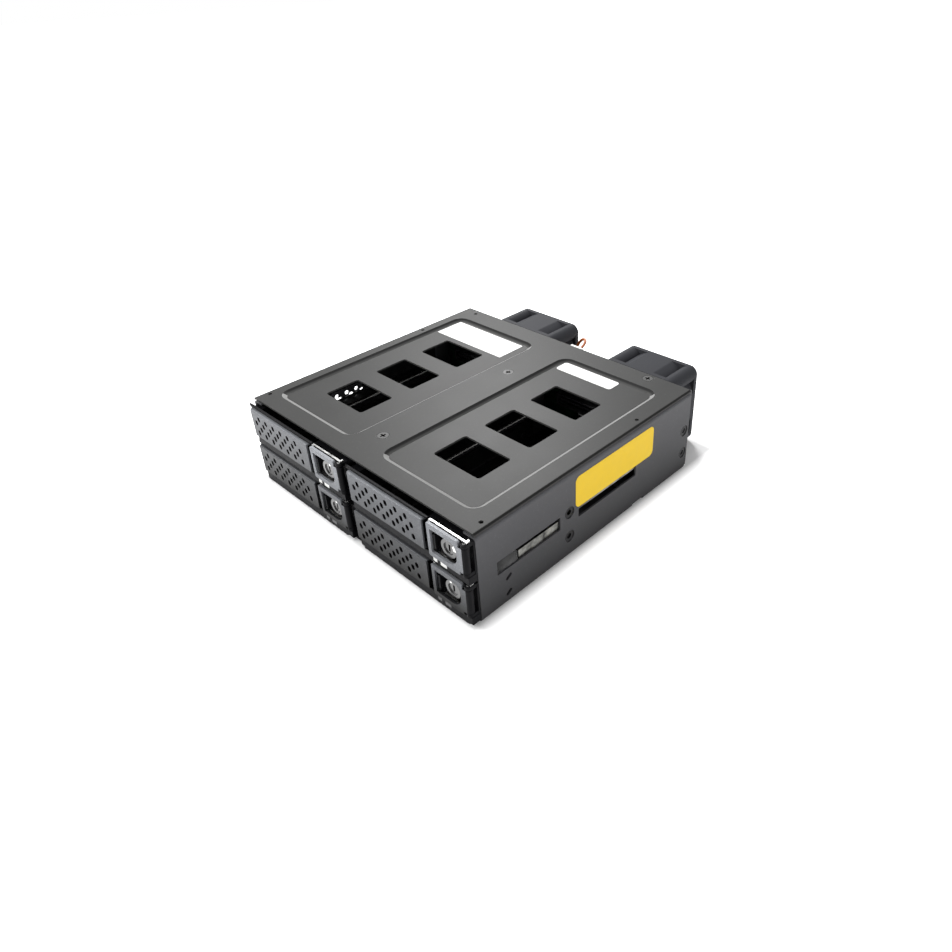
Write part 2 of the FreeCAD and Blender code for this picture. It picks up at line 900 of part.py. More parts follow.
def make_motor_mount(centre):
    """Motor base and bearing tube, held in the rear of the duct by struts."""
    base_front = fan_rear - fan_flange
    base = cylinder("y", centre, fan_axis_z, motor_r, base_front, fan_rear)
    bore = cylinder("y", centre, fan_axis_z, duct_r, base_front, fan_rear)
    parts = [base]
    for index in range(strut_count):
        strut = box(centre - strut_width / 2, centre + strut_width / 2, base_front, fan_rear,
                    fan_axis_z + motor_r / 2, fan_axis_z + duct_outer_r)
        angle = strut_start + index * 360 / strut_count
        parts.append(strut.rotate(FreeCAD.Vector(centre, 0, fan_axis_z), AXES["y"], angle).common(bore))
    tube_front = bracket_rear + hub_setback + hub_floor + bearing_gap
    parts.append(cylinder("y", centre, fan_axis_z, bearing_r, tube_front, fan_rear))
    shaft_hole = cylinder("y", centre, fan_axis_z, shaft_r + bearing_clearance, bracket_rear, fan_rear - shaft_cap)
    return joined(parts).cut(shaft_hole)


def blade(centre):
    """One twisted blade, lofted from hub to tip."""
    front = bracket_rear + hub_setback
    middle_of_hub = front + hub_length / 2
    wires = []
    root = (hub_r - hub_wall / 2, root_chord_share * hub_r, root_pitch)
    tip_end = (duct_r, tip_chord_share * duct_r, tip_pitch)
    for radius, chord, pitch in (root, tip_end):
        along = (cos(radians(pitch)), sin(radians(pitch)))
        across = (-along[1], along[0])
        ring = []
        for a, b in ((-1, -1), (1, -1), (1, 1), (-1, 1)):
            x = a * chord / 2 * along[0] + b * blade_thickness / 2 * across[0]
            y = a * chord / 2 * along[1] + b * blade_thickness / 2 * across[1]
            ring.append(FreeCAD.Vector(centre + x, middle_of_hub + y, fan_axis_z + radius))
        wires.append(Part.makePolygon(ring + ring[:1]))
    tip = cylinder("y", centre, fan_axis_z, duct_r - blade_gap, front, front + hub_length)
    return Part.makeLoft(wires, True, True).common(tip)


def make_fan_rotor(centre):
    """Rotor: a hub cup on its shaft, with the blades round it."""
    front = bracket_rear + hub_setback
    cup = cylinder("y", centre, fan_axis_z, hub_r, front, front + hub_length)
    inside = cylinder("y", centre, fan_axis_z, hub_r - hub_wall, front + hub_floor, front + hub_length + 1)
    shaft = cylinder("y", centre, fan_axis_z, shaft_r, front, fan_rear - fan_flange)
    one = blade(centre)
    blades = []
    for index in range(blade_count):
        turned = one.copy()
        angle = index * 360 / blade_count
        blades.append(turned.rotate(FreeCAD.Vector(centre, 0, fan_axis_z), AXES["y"], angle))
    return joined([cup.cut(inside), shaft] + blades)


def make_fan_header():
    """Header on the rear face of the bracket, open at the rear for the plug."""
    width, depth, height = header_size
    x0 = header_x - width / 2
    z0 = header_z - height / 2
    shell = box(x0, x0 + width, bracket_rear, bracket_rear + depth, z0, z0 + height)
    return shell.cut(make_fan_plug())


def make_fan_plug():
    """Plug of the left fan's lead, seated in the header."""
    width, depth, height = plug_size
    x0 = header_x - width / 2
    z0 = header_z - height / 2
    return box(x0, x0 + width, plug_rear - depth, plug_rear, z0, z0 + height)


def make_fan_lead():
    """Lead from the plug into the left fan's side, as straight runs joined by tangent arcs."""
    stops = [FreeCAD.Vector(*place) for place in lead_route]
    edges = []
    start = stops[0]
    for before, here, after in zip(stops, stops[1:], stops[2:]):
        to_before = (before - here).normalize()
        to_after = (after - here).normalize()
        half = to_before.getAngle(to_after) / 2
        run = min(before.distanceToPoint(here), here.distanceToPoint(after))
        radius = 0.45 * run * tan(half)
        reach = radius / tan(half)
        middle = here + (to_before + to_after).normalize() * (radius / sin(half) - radius)
        end = here + to_after * reach
        edges.append(Part.LineSegment(start, here + to_before * reach).toShape())
        edges.append(Part.Arc(here + to_before * reach, middle, end).toShape())
        start = end
    edges.append(Part.LineSegment(start, stops[-1]).toShape())
    path = Part.Wire(edges)
    ring = Part.Wire(Part.makeCircle(lead_r, stops[0], stops[1] - stops[0]))
    lead = path.makePipeShell([ring], True, False)
    return lead.cut(box(fan_centres[0], fan_gap[0], bracket_rear, fan_rear, 0, fan_size))


def make_white_labels():
    """Bare paper labels on the floors of the recesses."""
    floor = cage_height - recess_drop
    left = prism(rectangle(*left_label), "z", floor, floor + label_thickness)
    right = prism(rectangle(*right_label, right_label_corner), "z", floor, floor + label_thickness)
    return group([left, right])


def make_side_label():
    """Bare yellow label on the right wall."""
    return prism(rectangle(*side_label, side_label_corner), "x", half_width, half_width + label_thickness)


def make_sled(shift):
    """Open steel sled for one drive, centred on its bay."""
    middle = bezel_width / 2 + shift
    half = sled_width / 2
    low = -sled_drop
    high = low + sled_wall
    path = [(middle - half, high), (middle - half, low), (middle + half, low), (middle + half, high)]
    sled = prism(sheet_section(path, sled_sheet, sled_bend), "y", sled_front, sled_rear)
    inner = half - (sled_strip - sled_clearance)
    opening = rectangle(middle - inner, middle + inner, sled_front_bar, sled_rear - sled_rear_bar,
                        sled_opening_corner)
    cuts = [prism(opening, "z", low - 1, low + 2)]
    sight_end = pilot_start + 2 * pilot_pitch + sight_margin
    sight = rectangle(pilot_start - sight_margin, sight_end, sight_low, sight_high, vent_corner)
    cuts.append(prism(sight, "x", middle - half - 1, middle + half + 1))
    for y in (sled_hole_front, sled_hole_front + sled_hole_pitch):
        cuts.append(cylinder("x", y, sled_hole_height, sled_hole_r, middle - half - 1, middle + half + 1))
    return sled.cut(cuts)


def ear(bottom, top):
    """Hinge ear of the bezel, rounded about the lever's pivot."""
    side = barrel_r - 0.05
    block = box(pivot_x - side, pivot_x + side, pivot_y, bezel_back, bottom, top)
    return joined([cylinder("z", pivot_x, pivot_y, side, bottom, top), block])


def make_bezel(shift):
    """Moulded front of a tray: body, lower bar, lever pocket, lock boss and hinge ears."""
    top = bezel_height
    profile = [
        (bar_front, 0, 0.5), (bezel_back, 0), (bezel_back, top - top_fall), (lip_front + lip_slope, top, 1),
        (lip_front, top, 0.2), (lip_front, top - lip_height), (body_front, top - lip_height),
        (body_front, bar_height), (bar_front, bar_height, 0.3),
    ]
    body = prism(profile, "x", 0, bezel_width)
    middle = bezel_width / 2 + shift
    half = neck_width / 2
    neck_outline = [
        (middle - half, sled_floor, neck_corner), (middle + half, sled_floor, neck_corner),
        (middle + half, top - neck_top_inset + sled_floor), (middle - half, top - neck_top_inset + sled_floor),
    ]
    shell = joined([body, prism(neck_outline, "y", bezel_back, neck_back)])
    back = neck_back
    cuts = [
        prism(rectangle(air_left, air_right, air_bottom, air_top, 1), "y", -6, back + 1),
        box(-1, bar_start, bar_front - 1, body_front, -1, bar_height),
        box(pocket_left, pocket_back_left, -6, pocket_floor, pocket_bottom, top + 1),
        box(pocket_left, bezel_width + 1, -6, pocket_back, pocket_bottom, top + 1),
    ]
    shell = shell.cut(cuts)
    boss = cylinder("y", lock_x, lock_z, boss_r, boss_front, back)
    lower_ear = ear(pocket_bottom, ear_bottom)
    upper_ear = ear(ear_top, ear_top + ear_thickness)
    post = box(pivot_x - barrel_r, pivot_x + barrel_r, pocket_back, bezel_back,
               pocket_bottom, ear_top + ear_thickness)
    shell = joined([shell, boss, lower_ear, upper_ear, post])
    holes = [
        cylinder("y", lock_x, lock_z, lock_r + lock_clearance, -6, back + 1),
        cylinder("z", pivot_x, pivot_y, pin_r, ear_bottom - ear_thickness, ear_top + ear_thickness + 1),
    ]
    return shell.cut(holes + light_pipes())


def make_grille():
    """Perforated sheet front with a bevelled top edge and returns at top and bottom."""
    front = tray_front
    low = grille_bottom
    high = grille_top
    back = front + grille_sheet
    profile = [
        (front, low), (front, high - grille_bevel), (front + grille_bevel, high),
        (body_front, high), (body_front, high - grille_sheet), (back, high - grille_sheet),
        (back, low + grille_sheet), (body_front, low + grille_sheet), (body_front, low),
    ]
    plate = prism(profile, "x", grille_left, grille_right)
    slots = []
    for row in range(slot_rows):
        z = low + slot_margins_z[0] + row * slot_pitch_z
        start = grille_left + slot_margins_x[0] + row * slot_shift - row // 2 * slot_pitch_x
        for index in range(slots_in_long_row - row % 2):
            x = start + index * slot_pitch_x
            corners = stadium(x, z, slot_length, slot_width, slot_tilt)
            slots.append(prism(corners, "y", front - 1, back + grille_sheet / 2))
    return plate.cut(slots)


def lever_pegs():
    """Moulded pegs of the lever, which hold its plate."""
    x0 = (plate_left + window_left) / 2
    x1 = window_right - peg_inset
    z0 = (plate_bottom + window_low) / 2
    z1 = (window_high + bezel_height - lever_top_gap) / 2
    face_back = tray_front + lever_face
    return [cylinder("y", x, z, peg_r, face_back, plate_back) for x in (x0, x1) for z in (z0, z1)]


def make_lever():
    """Latch lever: a face with a D-shaped window, and the hinge barrel at its right."""
    top = bezel_height - lever_top_gap
    barrel_low = ear_bottom + ear_gap
    barrel_high = ear_top - ear_gap
    face = [
        (lever_left, lever_bottom, lever_corner), (lever_right, lever_bottom, lever_corner),
        (lever_right, barrel_low),
        (pivot_x, barrel_low), (pivot_x, barrel_high), (lever_right, barrel_high),
        (lever_right, top, lever_corner), (lever_left, top, lever_corner),
    ]
    back = tray_front + lever_face
    plate = prism(face, "y", tray_front, back)
    window = [
        (window_left, window_low, window_small_corner), (window_right, window_low, window_low_corner),
        (window_right, window_high, window_high_corner), (window_left, window_high, window_small_corner),
    ]
    barrel = cylinder("z", pivot_x, pivot_y, barrel_r, barrel_low, barrel_high)
    bore = cylinder("z", pivot_x, pivot_y, pin_r + pin_clearance, barrel_low - 1, barrel_high + 1)
    body = joined([plate, barrel] + lever_pegs())
    return body.cut([prism(window, "y", tray_front - 1, back), bore])


def make_lever_plate():
    """Bare steel frame behind the lever's face, with a hooked top band over the upper ear."""
    band = bezel_height - band_height
    hook_end = pivot_x + band_reach
    right = lever_right - plate_rim
    frame = [
        (plate_left, plate_bottom, plate_corner), (right, plate_bottom, window_small_corner),
        (right, band), (hook_end, band), (hook_end, bezel_height),
        (plate_left, bezel_height, plate_corner),
    ]
    plate = prism(frame, "y", plate_front, plate_back)
    hook = box(hook_end - hook_width, hook_end, plate_back, hook_back, band, bezel_height)
    low = catch_low - guide_clearance - guide_sheet
    high = catch_high + guide_clearance
    window = rectangle(window_left - plate_rim, window_right + plate_rim, low, high + guide_sheet,
                       window_small_corner)
    plate = plate.cut([prism(window, "y", plate_front - 1, plate_back)] + lever_pegs())
    start = catch_left + guide_offset
    guides = []
    for edge in (low, high):
        guides.append(box(start, start + guide_length, plate_front, catch_back, edge, edge + guide_sheet))
    return joined([plate, hook] + guides)


def make_lever_pin():
    """Hinge pin through both ears and the lever's barrel."""
    return cylinder("z", pivot_x, pivot_y, pin_r, ear_bottom - ear_thickness, ear_top + ear_thickness)


def make_catch():
    """Release catch: a slider behind the plate, with a finger bar in the window."""
    front = plate_back + catch_clearance
    slider = box(catch_left, catch_left + catch_width, front, catch_back, catch_low, catch_high)
    bar = box(bar_left, bar_left + bar_width, catch_nose, front, bar_low, bar_high)
    tip = box(bar_left - tip_reach, bar_left + bar_width, catch_nose, catch_nose + tip_thickness,
              bar_high - tip_reach, bar_high + tip_reach)
    return joined([slider, bar, tip])


def make_lock():
    """Key lock cylinder with a bright flange, a keyway and a cam behind the bezel."""
    back = neck_back + running_gap
    body = cylinder("y", lock_x, lock_z, lock_r, lock_front, back)
    flange = cylinder("y", lock_x, lock_z, lock_flange_r, lock_front, lock_front + lock_flange)
    cam = box(lock_x - cam_width / 2, lock_x + cam_width / 2, back, back + cam_thickness,
              lock_z - cam_length, lock_z + lock_r / 2)
    face = cylinder("y", lock_x, lock_z, lock_face_r, lock_front - 1, lock_front + lock_face_depth)
    keyway = box(lock_x - keyway_width / 2, lock_x + keyway_width / 2, lock_front,
                 lock_front + lock_face_depth + keyway_depth,
                 lock_z - keyway_length / 2, lock_z + keyway_length / 2)
    return joined([body, flange, cam]).cut([face, keyway])


def light_pipes():
    """Clear rods that carry the board lights to the front."""
    pipes = []
    for left, right in pipe_insets:
        corners = rectangle(bezel_width - left, bezel_width - right, pipe_low, pipe_high, pipe_corner)
        pipes.append(prism(corners, "y", bar_front - pipe_proud, neck_back))
    return pipes


def export(name, shape):
    """Write one node, with the object's middle over the origin."""
    print(name, len(shape.Solids), round(shape.Volume, 1), shape.isValid())
    moved(shape, -middle_x, -middle_y, 0).exportStep("parts/" + name + ".step")


def build_cage():
    """Everything that stays still, and the two fan rotors."""
    left_fan, right_fan = fan_centres
    export("cage_base", make_cage_base())
    export("top_cover", make_top_cover())
    export("centre_divider", make_centre_divider())
    export("side_rails", make_side_rails())
    export("centre_rails", make_centre_rails())
    export("rear_bracket", make_rear_bracket())
    export("backplane_board", make_backplane_board())
    export("drive_sockets", make_drive_sockets())
    export("data_ports", make_data_ports())
    export("power_ports", make_power_ports())
    export("board_screws", group(board_screws()))
    export("fan_screws", group(fan_screws()))
    export("cover_screws", make_cover_screws())
    export("fan_left_frame", make_fan_frame(left_fan))
    export("fan_right_frame", make_fan_frame(right_fan))
    export("fan_left_motor_mount", make_motor_mount(left_fan))
    export("fan_right_motor_mount", make_motor_mount(right_fan))
    export("fan_left_rotor", make_fan_rotor(left_fan))
    export("fan_right_rotor", make_fan_rotor(right_fan))
    export("fan_header", make_fan_header())
    export("fan_plug", make_fan_plug())
    export("fan_lead", make_fan_lead())
    export("white_labels", make_white_labels())
    export("side_label", make_side_label())


def build_trays():
    """Four trays, which differ only in where the sled sits behind the bezel."""
    shared = {
        "grille": make_grille(),
        "lever": make_lever(),
        "lever_plate": make_lever_plate(),
        "lever_pin": make_lever_pin(),
        "catch": make_catch(),
        "lock": make_lock(),
        "light_pipes": group(light_pipes()),
    }
    for column, left, centre in zip(("left", "right"), column_left, bay_centres):
        shift = centre - (left + bezel_width / 2)
        pieces = dict(shared, bezel=make_bezel(shift), sled=make_sled(shift))
        for row, bottom in zip(("lower", "upper"), row_bottom):
            for name, shape in pieces.items():
                export(row + "_" + column + "_" + name, moved(shape, left, 0, bottom))


os.makedirs("parts", exist_ok=True)
build_cage()
build_trays()
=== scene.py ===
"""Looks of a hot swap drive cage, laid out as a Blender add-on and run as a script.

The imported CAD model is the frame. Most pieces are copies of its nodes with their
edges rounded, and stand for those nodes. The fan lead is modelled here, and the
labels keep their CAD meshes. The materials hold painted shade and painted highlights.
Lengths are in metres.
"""

import json
import math

import bmesh
import bpy
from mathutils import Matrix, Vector


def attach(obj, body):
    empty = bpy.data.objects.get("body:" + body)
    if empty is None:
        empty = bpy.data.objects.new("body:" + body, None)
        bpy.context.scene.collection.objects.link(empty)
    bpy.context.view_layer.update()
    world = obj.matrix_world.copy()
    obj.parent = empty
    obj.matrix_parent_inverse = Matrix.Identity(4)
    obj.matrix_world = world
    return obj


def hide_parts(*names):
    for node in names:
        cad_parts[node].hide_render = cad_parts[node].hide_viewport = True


bl_info = {
    "name": "Hot swap drive cage",
    "version": (1, 0, 0),
    "blender": (4, 5, 0),
    "location": "3D View > Sidebar > Drive cage",
    "description": "Dresses the packed drive cage and sets its studio",
    "category": "Object",
}

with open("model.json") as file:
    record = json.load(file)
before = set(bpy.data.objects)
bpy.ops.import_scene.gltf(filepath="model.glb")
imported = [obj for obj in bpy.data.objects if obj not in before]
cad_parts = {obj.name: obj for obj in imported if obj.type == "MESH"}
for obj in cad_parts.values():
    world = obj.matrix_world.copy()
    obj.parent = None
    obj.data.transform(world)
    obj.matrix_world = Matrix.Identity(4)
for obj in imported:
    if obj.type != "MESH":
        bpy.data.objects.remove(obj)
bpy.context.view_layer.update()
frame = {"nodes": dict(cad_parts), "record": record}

MM = 0.001
FLOOR_HALF = 4.0
FLOOR_BOUNCE = 0.6
FLOOR_LIFT = 0.94
FLOOR_NEAR = 0.22
FLOOR_WHITE_DISTANCE = 0.6
# Painted shadow on the floor round the cage: how far it reaches and how dark it gets.
FLOOR_PAINTED_SHADOW_REACH = 7.0 * MM
FLOOR_PAINTED_SHADOW = 0.02
CAGE_HALF_WIDTH = 73.0 * MM
CAGE_HALF_DEPTH = 78.0 * MM
CAGE_HEIGHT = 41.3 * MM
MERGE_DISTANCE = 1e-6
FLAT_ANGLE = math.radians(1.0)
ROUNDED_ANGLE = math.radians(28.0)
SHARP_ANGLE = math.radians(40.0)
UPRIGHT = 0.9
SIDEWAYS = 0.5
WALL_REACH = 2.0 * MM
DIMPLE_RADIUS = 3.0 * MM
DIMPLE_AREA = 60 * MM * MM
CUT_EDGE = 1.6 * MM
GRILLE_RIM = 1.2 * MM
BARREL_START = -0.3 * MM
SCREW_RIM = 0.2 * MM
SCREW_HEAD_RADIUS = 3.0 * MM
COVER_SCREWS = ((-1.85, -55.6), (-1.85, 17.4), (51.45, 54.3))
PAN_DEPTH = 1.5 * MM
PRESSED_DEPTH = 1.6 * MM
SLOPE_LEAST = 0.3
SLOPE_MOST = 0.97
LIP_TRIM = 2.6 * MM
LIP_HEIGHT = 0.8 * MM
LIP_REACH = 2.5 * MM
LOCK_FACE_RADIUS = 2.9 * MM
LOCK_FACE_DEPTH = 3.0 * MM
LEAD_DIAMETER = 1.5 * MM
LEAD_ROUTE = (
    (-0.65, 66.2, 34.4), (-0.65, 69.5, 34.4), (-1.95, 74.9, 36.6), (-7.05, 77.3, 35.2),
    (-10.05, 76.1, 29.4), (-8.05, 72.7, 20.8), (-12.25, 69.7, 18.2),
)
CAMERA_SENSOR = 36.0
CAMERA_LENS = 28.65
CAMERA_SHIFT = (-0.0611, -0.0449)
CAMERA_PLACE = (0.22589, -0.20167, 0.20691)
CAMERA_ANGLES = (57.629, 1.495, 43.117)
WHITE = (1.0, 1.0, 1.0, 1.0)
ALONG_X = (0.06, 1.0, 1.0)
ALONG_Y = (1.0, 0.06, 1.0)
ALONG_Z = (1.0, 1.0, 0.06)
WORLD_LIGHT = 0.4
LAMP_AIM = Vector((0.0, 0.0, 0.02))
LAMPS = {
    "rear_left_light": ((-0.57, 0.52, 0.62), 0.35, 7.2),
    "top_light": ((-0.2, -0.15, 0.8), 0.5, 3.0),
    "front_left_light": ((-0.46, -0.42, 0.38), 0.3, 3.6),
    "right_light": ((0.7, -0.1, 0.25), 0.4, 1.8),
}
TRAYS = ("upper_left", "upper_right", "lower_left", "lower_right")
UPPER_TRAYS = TRAYS[:2]
FANS = ("left", "right")


class Value:
    """One output of a shader node. Arithmetic on it adds Math nodes."""

    def __init__(self, shader, socket):
        self.shader = shader
        self.socket = socket

    def math(self, operation, *terms):
        sockets = dict(enumerate(terms or (self,)))
        return self.shader.node("ShaderNodeMath", {"operation": operation}, sockets)

    def __add__(self, other):
        return self.math("ADD", self, other)

    def __radd__(self, other):
        return self.math("ADD", other, self)

    def __sub__(self, other):
        return self.math("SUBTRACT", self, other)

    def __rsub__(self, other):
        return self.math("SUBTRACT", other, self)

    def __mul__(self, other):
        return self.math("MULTIPLY", self, other)

    def __rmul__(self, other):
        return self.math("MULTIPLY", other, self)


class Shader:
    """Node tree of one material, or of a world."""

    def __init__(self, name, owners=None):
        if owners is None:
            owners = bpy.data.materials
        self.owner = owners.new(name)
        self.owner.use_nodes = True
        self.tree = self.owner.node_tree
        self.tree.nodes.clear()

    def node(self, kind, settings=None, sockets=None, output=0):
        """Adds a node: its settings first, then the values or links of its sockets."""
        made = self.tree.nodes.new(kind)
        for key, value in (settings or {}).items():
            if key == "stops":
                self.set_stops(made.color_ramp, value)
            else:
                setattr(made, key, value)
        for key, value in (sockets or {}).items():
            if isinstance(value, Value):
                self.tree.links.new(value.socket, made.inputs[key])
            else:
                made.inputs[key].default_value = value
        return Value(self, made.outputs[output]) if made.outputs else None

    def set_stops(self, ramp, stops):
        """Places the stops of a colour ramp, given as (position, colour)."""
        while len(ramp.elements) < len(stops):
            ramp.elements.new(1.0)
        for element, (position, colour) in zip(ramp.elements, stops):
            element.position = position
            element.color = colour

    def place(self, scale=(1.0, 1.0, 1.0)):
        """Object coordinates, stretched by a scale."""
        raw = self.node("ShaderNodeTexCoord", output="Object")
        return self.node("ShaderNodeMapping", sockets={"Vector": raw, "Scale": scale})

    def noise(self, vector, scale, detail=2.0, roughness=0.5):
        """Noise from 0 to 1, with about scale features in a metre."""
        sockets = {"Vector": vector, "Scale": scale, "Detail": detail, "Roughness": roughness}
        return self.node("ShaderNodeTexNoise", sockets=sockets)

    def ramp(self, value, low, high, least=0.0):
        """The least value below low, 1 above high."""
        stops = ((low, grey(least)), (high, WHITE))
        return self.node("ShaderNodeValToRGB", {"stops": stops}, {"Fac": value})

    def largest(self, first, second):
        """The larger of two values."""
        return first.math("MAXIMUM", first, second)

    def seen(self):
        """1 for camera, glossy and transmission rays, 0 for the rest."""
        rays = ("Is Camera Ray", "Is Glossy Ray", "Is Transmission Ray")
        camera, glossy, through = (self.node("ShaderNodeLightPath", output=ray) for ray in rays)
        return self.largest(self.largest(camera, glossy), through)

    def distance(self, vector):
        """Length of a vector."""
        return self.node("ShaderNodeVectorMath", {"operation": "LENGTH"}, {0: vector}, output="Value")

    def part(self, vector, axis):
        """One axis of a vector."""
        return self.node("ShaderNodeSeparateXYZ", sockets={"Vector": vector}, output=axis)

    def blend(self, factor, first, second, how="MIX"):
        """Mix of two colours."""
        made = self.tree.nodes.new("ShaderNodeMix")
        made.data_type = "RGBA"
        made.blend_type = how
        for index, value in ((0, factor), (6, first), (7, second)):
            if isinstance(value, Value):
                self.tree.links.new(value.socket, made.inputs[index])
            else:
                made.inputs[index].default_value = value
        return Value(self, made.outputs[2])

    def painted_height_shade(self, tint, low, start=0.0, full=1.0):
        """Painted shade: the tint, times low below the height start and whole above the height full."""
        height = self.part(self.place(), "Z") * (1 / CAGE_HEIGHT)
        return self.blend(1.0, tint, self.ramp(height, start, full, low), "MULTIPLY")

    def bump(self, height, strength, distance):
        """Normal bent by a height."""
        sockets = {"Height": height, "Strength": strength, "Distance": distance}
        return self.node("ShaderNodeBump", sockets=sockets)

    def finish(self, **sockets):
        """Closes the tree with a Principled shader. Socket names have _ for a space."""
        named = {key.replace("_", " "): value for key, value in sockets.items()}
        surface = self.node("ShaderNodeBsdfPrincipled", sockets=named)
        self.node("ShaderNodeOutputMaterial", sockets={"Surface": surface})
        return self.owner


def colour(red, green, blue):
    """Linear colour with full alpha."""
    return (red, green, blue, 1.0)


def grey(level):
    """Linear grey with full alpha."""
    return colour(level, level, level)


def shade(base, factor):
    """The same colour, darker or lighter."""
    return tuple(part * factor for part in base[:3]) + (1.0,)


def painted_wall_light(base):
    """Painted light: the coat made lighter and a little bluer for the walls, a lit copy of the cover's
    coat.
    """
    return colour(base[0] * 1.5, base[1] * 1.5, base[2] * 1.62)


def powder_coat(name, base, roughness, specular, low=1.0):
    """Fine powder coat on steel: a pebbled skin, faint cloudiness, dull flecks, and painted shade towards
    the floor.
    """
    s = Shader(name)
    place = s.place()
    pebble = s.noise(place, 2600.0, 1.0)
    cloud = s.noise(place, 45.0, 3.0, 0.6)
    fleck = s.ramp(s.noise(place, 900.0, 2.0), 0.62, 0.74)
    tint = s.blend(cloud, shade(base, 0.9), shade(base, 1.12))
    tint = s.blend(fleck * 0.18, tint, shade(base, 1.9))
    return s.finish(
        # Painted shade: the colour falls to low times the tint towards the floor.
        Base_Color=s.painted_height_shade(tint, low),
        Roughness=cloud * 0.12 + pebble * 0.06 + (roughness - 0.09),
        Specular_IOR_Level=specular,
        Normal=s.bump(pebble, 0.25, 0.04 * MM),
    )


def painted_shade_slope_coat(name, base, roughness, specular):
    """The coat on a pressed slope, with painted shade along its upper edge."""
    s = Shader(name)
    place = s.place()
    pebble = s.noise(place, 2600.0, 1.0)
    drop = (CAGE_HEIGHT - s.part(place, "Z")) * (1 / PRESSED_DEPTH)
    # Painted shade: near black at the top of the slope, close to the coat's tone lower down.
    tint = s.blend(s.ramp(drop, 0.3, 0.62), shade(base, 0.14), shade(base, 0.85))
    return s.finish(
        Base_Color=tint,
        Roughness=pebble * 0.1 + (roughness - 0.05),
        Specular_IOR_Level=specular,
        Normal=s.bump(pebble, 0.25, 0.04 * MM),
    )


def rolled_steel(name, base, roughness, stretch, depth=0.72):
    """Zinc plated sheet: fine lines along the rolling direction and dull clouds."""
    s = Shader(name)
    lines = s.noise(s.place(stretch), 900.0, 3.0, 0.7)
    cloud = s.ramp(s.noise(s.place(), 170.0, 3.0, 0.6), 0.3, 0.7)
    tint = s.blend(cloud, shade(base, depth), base)
    return s.finish(
        Base_Color=tint,
        Metallic=1.0,
        Roughness=lines * 0.16 + cloud * 0.14 + (roughness - 0.15),
        Normal=s.bump(lines, 0.18, 0.03 * MM),
    )


def moulded(name, base, roughness, grain, grain_scale=1700.0, specular=0.5):
    """Moulded plastic: a spark eroded grain and slightly uneven gloss."""
    s = Shader(name)
    place = s.place()
    skin = s.noise(place, grain_scale, 2.0)
    cloud = s.noise(place, 90.0, 2.0)
    return s.finish(
        Base_Color=s.blend(cloud, shade(base, 0.88), shade(base, 1.1)),
        Roughness=cloud * 0.1 + skin * 0.08 + (roughness - 0.09),
        Specular_IOR_Level=specular,
        Normal=s.bump(skin, grain, 0.03 * MM),
    )


def painted_panel(name, base, roughness, start, full):
    """Metallic paint: pale flakes under a satin skin, with painted shade towards the bottom."""
    s = Shader(name)
    place = s.place()
    flake = s.ramp(s.noise(place, 3800.0, 0.0), 0.6, 0.78)
    cloud = s.noise(place, 120.0, 2.0)
    tint = s.blend(flake * 0.5, s.blend(cloud, shade(base, 0.92), shade(base, 1.08)), shade(base, 2.2))
    return s.finish(
        # Painted shade: black below the height start, whole above the height full.
        Base_Color=s.painted_height_shade(tint, 0.0, start, full),
        Metallic=flake * 0.5,
        Specular_IOR_Level=0.12,
        Roughness=cloud * 0.12 + (roughness - 0.06),
        Normal=s.bump(flake, 0.1, 0.02 * MM),
    )


def screw_head(name, base):
    """Coated screw heads with a painted dark ring round each, for the shade of the gap round the head."""
    s = Shader(name)
    place = s.place()
    away = None
    for x, y in COVER_SCREWS:
        axis = (x * MM, y * MM, CAGE_HEIGHT)
        here = s.distance(s.node("ShaderNodeVectorMath", {"operation": "SUBTRACT"}, {0: place, 1: axis}))
        away = here if away is None else away.math("MINIMUM", away, here)
    ring = s.ramp(away * (1 / SCREW_HEAD_RADIUS), 0.74, 0.84)
    cloud = s.noise(place, 400.0, 2.0)
    tint = s.blend(cloud, shade(base, 0.9), shade(base, 1.3))
    return s.finish(
        # Painted shade: the outer rim of each head goes near black.
        Base_Color=s.blend(ring, tint, shade(base, 0.05)),
        Roughness=cloud * 0.2 + 0.3,
        Specular_IOR_Level=0.12,
    )


def plated(name, base, roughness):
    """Polished plating with faint swirls."""
    s = Shader(name)
    swirl = s.noise(s.place(), 600.0, 4.0, 0.7)
    return s.finish(
        Base_Color=s.blend(swirl, shade(base, 0.9), base),
        Metallic=1.0,
        Roughness=swirl * 0.12 + (roughness - 0.06),
    )


def paper(name, base):
    """Label stock: fine fibres and a matt coat."""
    s = Shader(name)
    fibre = s.noise(s.place(), 1500.0, 4.0, 0.7)
    return s.finish(
        Base_Color=s.blend(fibre, shade(base, 0.95), base),
        Roughness=fibre * 0.15 + 0.45,
        Normal=s.bump(fibre, 0.1, 0.02 * MM),
    )


def film(name, base):
    """Printed polyester film: even colour, slightly mottled gloss."""
    s = Shader(name)
    mottle = s.noise(s.place(), 260.0, 3.0)
    return s.finish(
        Base_Color=s.blend(mottle, shade(base, 0.95), shade(base, 1.03)),
        Roughness=mottle * 0.16 + 0.4,
        Specular_IOR_Level=0.15,
    )


def circuit_board(name, base):
    """Solder mask with fine tracks that show as ridges."""
    s = Shader(name)
    place = s.place((1.0, 0.05, 1.0))
    weave = s.noise(place, 700.0, 2.0)
    track = s.ramp(s.noise(s.place((0.2, 0.05, 1.0)), 420.0, 0.0), 0.5, 0.53)
    return s.finish(
        Base_Color=s.blend(track * 0.5, base, shade(base, 1.9)),
        Roughness=weave * 0.15 + 0.3,
        Normal=s.bump(track, 0.4, 0.03 * MM),
    )


